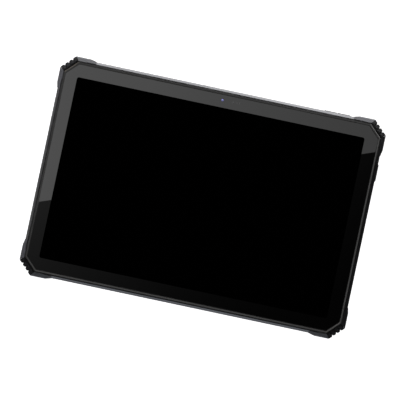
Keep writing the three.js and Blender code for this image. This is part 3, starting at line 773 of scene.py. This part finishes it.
def corners():
    """Each corner: a moulded bumper with tapered wings and a darker ribbed pad let into its face."""
    # How far in from the side, and the height, from the underside round to the front.
    run = [(6, 0), (2.6, 0), (0, 3.2), (0, 12.6), (3.3, 15.8), (8, 15.8)]
    profile = fillet([(step + SKIN_GAP, z) for step, z in run], [0.8, 1.2, 1.2, 0.3], 5)
    sections = [(z, octagon(OVERALL, OVERALL_CHAMFER, step, 1.5)) for step, z in profile]
    for corner in CORNERS:
        bumper = skinned("bumper_" + corner, "corner_bumper_" + corner, "bumper", sections)
        fit(soften(bumper, 0.22, 2), "tablet", "bumper", "bumper_" + corner)
        pad = skinned("grip_pad_" + corner, "ribbed_pad_" + corner, "grip_pad", sections)
        fit(soften(pad, 0.12, 2), "tablet", "grip_pad", "grip_pad_" + corner)


def keys():
    """The power key and the volume rocker, with rolled edges and raised marks."""
    for node, name, outlines in (("power_button", "power_key", power_mark),
                                 ("volume_rocker", "volume_key", plus_and_minus)):
        fit(from_node(node, name, "key_plastic", 0.28, 4), name, "key_plastic", node)
        middle = centre(node)
        top, foot = span(node)[1].y + 0.02, span(node)[1].y - 0.28
        bm = bmesh.new()
        for outline in outlines(middle.x, middle.z):
            plan = [Vector(p) for p in outline]
            loft(bm, [(-top, plan), (-foot, plan)])
        bmesh.ops.rotate(bm, matrix=Matrix.Rotation(math.pi / 2, 3, "X"), verts=bm.verts)
        bmesh.ops.recalc_face_normals(bm, faces=bm.faces)
        fit(finished(bm, name + "_mark", ["diffuser"]), name, "diffuser")


def power_mark(x, z):
    """A broken ring and the bar in its gap, as closed outlines on the key's face."""
    turns = [math.radians(angle) for angle in range(40, 321, 10)]
    ring_r = 0.75
    arcs = [(ring_r + STROKE, t) for t in turns] + [(ring_r - STROKE, t) for t in reversed(turns)]
    ring = [(x + r * math.sin(t), z + r * math.cos(t)) for r, t in arcs]
    return [ring, rectangle(x, z + 0.62, STROKE, 0.4)]


def plus_and_minus(x, z):
    """The plus and the minus near the rocker's two ends."""
    reach, arm = 3.4, 0.65
    half_cross = [(arm, -STROKE), (arm, STROKE), (STROKE, STROKE), (STROKE, arm), (-STROKE, arm),
                  (-STROKE, STROKE)]
    cross = half_cross + [(-a, -b) for a, b in half_cross]
    return [rectangle(x - reach, z, arm, STROKE), [(x + reach + a, z + b) for a, b in cross]]


def doors():
    """The two silicone doors, the sockets and hinge pins behind them, and the dock's contacts."""
    for node in ("io_door", "card_door"):
        piece = from_node(node, node + "_cover", "silicone", 0.14, 3)
        fit(piece, node, "silicone", node)
        finger_ribs(node)
    shells = {"usb_socket": "steel", "card_reader": "steel", "dock_connector": "key_plastic",
              "dock_contacts": "gold_contact", "io_door_pin": "steel", "card_door_pin": "steel"}
    for node, slot in shells.items():
        fit(from_node(node, node + "_shell", slot, 0.06, 2), "tablet", slot, node)


def finger_ribs(node):
    """Short upright ribs near a door's free edge, for a fingertip."""
    low, high = span(node)
    face_x = high.x if high.x > 0 else low.x
    rib_x = face_x - math.copysign(0.12, face_x)
    z = centre(node).z
    half_length, pitch, margin = 2.2, 0.95, 1.3
    ends = rectangle(rib_x, 0, 0.12, 0.12, 0.1, 3)
    full = rectangle(rib_x, 0, 0.27, 0.25, 0.24, 3)
    bm = bmesh.new()
    loft(bm, [(z - half_length, ends), (z - half_length + 0.2, full),
              (z + half_length - 0.2, full), (z + half_length, ends)])
    rib = finished(bm, "finger rib", ["silicone"])
    places = [(0, low.y + margin + pitch * row, 0) for row in range(4)]
    fit(scattered(node + "_ribs", rib, "silicone", places), node, "silicone")


# ---------------------------------------------------------------- studio


def studio():
    """The camera, a large soft box, lights and cards round the edges, and a pale stage."""
    scene = bpy.context.scene
    scene.view_settings.view_transform = "Standard"
    overhead_camera()

    world = bpy.data.worlds.new("studio")
    world.use_nodes = True
    world.node_tree.nodes["Background"].inputs["Color"].default_value = grey(0.012)
    scene.world = world

    # The soft box's lower edge runs along the line that its reflection draws across the glass.
    along = Vector((0.3225, 0.1198)).normalized()
    inward = Vector((-along.y, along.x))
    edge_middle = Vector((0.0004, 0.0229))
    panel = Vector((1.1, 0.7))
    middle = edge_middle + inward * panel.y / 2
    soft = area_light("soft box", panel, 1.0, (middle.x, middle.y, FRONT_Z * MM + 1.0),
                      (0, 0, math.atan2(along.y, along.x)))
    fade_along(soft, (0.32, 0.68), (1.58, 1.02))
    fill = area_light("fill panel", (1.6, 1.6), 1.0, (-0.2, 0.1, 1.3), (0, 0, math.radians(-40)))
    fade_along(fill, (0.55, 0.76), (0.64, 0.06), 2.5)
    area_light("front fill", (1.2, 0.5), 1.2, (0.2, -0.5, 1.0))
    area_light("side fill", (0.4, 0.5), 1.0, (0.48, -0.12, 1.0))

    cool = (0.96, 0.955, 1.08)
    edge_light("top light", (0, 1, -0.1), (1.2, 0.4), 1.9, cool)
    edge_light("left light", (-1, 0.3, 0.02), (0.9, 0.16), 7.5, cool)
    edge_light("right light", (1, 0, -0.1), (0.5, 0.3), 0.05, cool)
    table_card("top card", (0, 1), (0.5, 0.3), 4.7, (0.985, 0.99, 1.02))
    table_card("bottom card", (0, -1), (0.5, 0.3), 1.4, (0.93, 0.97, 1.07))
    table_card("left card", (-1, 0), (0.3, 0.4), 0.15)
    table_card("right card", (1, 0), (0.3, 0.4), 0.01)
    area_light("back light", (1.5, 0.8), 2.6, (0.15, 0.35, -1.3), (math.pi, 0, 0))
    area_light("back edge light", (0.9, 1.2), 1.6, (-0.9, 0, -1.0), (math.pi, math.radians(45), 0))
    floor()
    backdrop()


def overhead_camera():
    """A long lens straight above the screen, turned so that the tablet lies askew in the view."""
    turn = math.radians(11.97)
    distance = 2.4
    field = 0.2960  # width of what it sees at the screen
    camera = bpy.data.cameras.new("camera")
    camera.sensor_width = 36
    camera.lens = 36 * distance / field
    camera.clip_end = 50
    holder = bpy.data.objects.new("camera", camera)
    bpy.context.scene.collection.objects.link(holder)
    across, up = turned(Vector((1, 0)), turn), turned(Vector((0, 1)), turn)
    aim = across * -0.00198 + up * -0.00183
    holder.location = (aim.x, aim.y, FRONT_Z * MM + distance)
    holder.rotation_euler = (0, 0, turn)
    bpy.context.scene.camera = holder


def rim_lights(rim):
    """Two lamps over the top corners that pick out the rim's crest and nothing else."""
    group = bpy.data.collections.new("rim only")
    group.objects.link(rim)
    for side, tint in ((-1, (1, 0.88, 0.72)), (1, (1, 1, 1))):
        light = edge_light("corner light", (side * 0.7, 0.7, 0.55), (0.4, 0.4), 7, tint)
        light.light_linking.receiver_collection = group


def staged(name, mesh, look, glow, unseen_by):
    """A piece of the stage: it glows evenly, and the tablet's own rays pass it by."""
    piece = bpy.data.objects.new(name, mesh)
    bpy.context.scene.collection.objects.link(piece)
    look.shader.inputs["Emission Color"].default_value = grey(1)
    look.shader.inputs["Emission Strength"].default_value = glow
    mesh.materials.append(look.material)
    for ray in unseen_by:
        setattr(piece, "visible_" + ray, False)


def backdrop():
    """A pale shell far round the stage, for views along the table and from below."""
    bm = bmesh.new()
    bmesh.ops.create_icosphere(bm, subdivisions=4, radius=7)
    mesh = bpy.data.meshes.new("backdrop")
    bm.to_mesh(mesh)
    bm.free()
    look = Look("pale backdrop", Base_Color=grey(0.8), Roughness=0.9)
    staged("backdrop", mesh, look, 0.9, ("diffuse", "glossy", "transmission", "shadow"))


def floor():
    """A pale floor that is clear from below, so that the back can be looked at too."""
    reach = 6
    mesh = bpy.data.meshes.new("floor")
    corners = [(-reach, -reach, 0), (reach, -reach, 0), (reach, reach, 0), (-reach, reach, 0)]
    mesh.from_pydata(corners, [], [(0, 1, 2, 3)])
    look = Look("pale floor", Base_Color=grey(0.8), Roughness=0.9)
    below = look.add("ShaderNodeNewGeometry").outputs["Backfacing"]
    clear = look.add("ShaderNodeBsdfTransparent").outputs[0]
    mixed = look.add("ShaderNodeMixShader", {0: below, 1: look.shader.outputs[0], 2: clear})
    look.links.new(mixed.outputs[0], look.nodes["Material Output"].inputs["Surface"])
    staged("floor", mesh, look, 1.0, ("diffuse", "glossy", "shadow"))


def fade_along(light, stretch, strengths, power=1.0):
    """Lets a panel's brightness run from one strength to another over a stretch of its length."""
    light.data.use_nodes = True
    tree = light.data.node_tree
    emission = next(node for node in tree.nodes if node.type == "EMISSION")
    where = tree.nodes.new("ShaderNodeNewGeometry")
    split = tree.nodes.new("ShaderNodeSeparateXYZ")
    fade = tree.nodes.new("ShaderNodeMapRange")
    curve = tree.nodes.new("ShaderNodeMath")
    curve.operation = "POWER"
    curve.inputs[1].default_value = power
    for key, value in zip(("From Min", "From Max", "To Min", "To Max"), (*stretch, *strengths)):
        fade.inputs[key].default_value = value
    tree.links.new(where.outputs["Parametric"], split.inputs[0])
    tree.links.new(split.outputs["X"], fade.inputs["Value"])
    tree.links.new(fade.outputs[0], curve.inputs[0])
    tree.links.new(curve.outputs[0], emission.inputs["Strength"])


def area_light(name, size, radiance, place, turn=(0, 0, 0), tint=(1, 1, 1)):
    """A panel of a given size and brightness; unturned, it faces down."""
    data = bpy.data.lights.new(name, "AREA")
    data.shape = "RECTANGLE"
    data.size, data.size_y = size
    data.energy = radiance * math.pi * size[0] * size[1]
    data.color = tint
    light = bpy.data.objects.new(name, data)
    bpy.context.scene.collection.objects.link(light)
    light.location = place
    light.rotation_euler = turn
    light.visible_camera = False
    return light


def edge_light(name, place, size, radiance, tint=(1, 1, 1)):
    """A panel that faces the tablet from one side."""
    turn = (-Vector(place)).to_track_quat("-Z", "Y").to_euler()
    return area_light(name, size, radiance, place, turn, tint)


def table_card(name, side, size, radiance, tint=(1, 1, 1)):
    """A card that lies on the table beside one edge of the tablet and lights its sloping walls."""
    clear = 0.006
    reach = abs(Vector(side).dot(Vector(OVERALL) * MM)) + clear
    x, y = (side[k] * (reach + size[k] / 2) for k in (0, 1))
    area_light(name, size, radiance, (x, y, 0.001), (math.pi, 0, 0), tint)


# ---------------------------------------------------------------- assembly

studio()
finishes = {part["node"]: part["material_slot"] for part in frame["record"]["subparts"]}
for node, cad in frame["nodes"].items():
    cad.data.materials.clear()
    cad.data.materials.append(LOOKS[finishes[node]])

rim_lights(front_frame())
cover_glass()
housing()
grip_ribs()
battery_cover()
screws("housing_screws", ["housing_screw_%d" % (i + 1) for i in range(8)], SCREW_HEAD_R, 2.1)
screws("hatch_screws", ["battery_screw_%d" % (i + 1) for i in range(4)], HATCH_SCREW_HEAD_R, 1.75)
camera()
speaker_meshes()
corners()
keys()
doors()
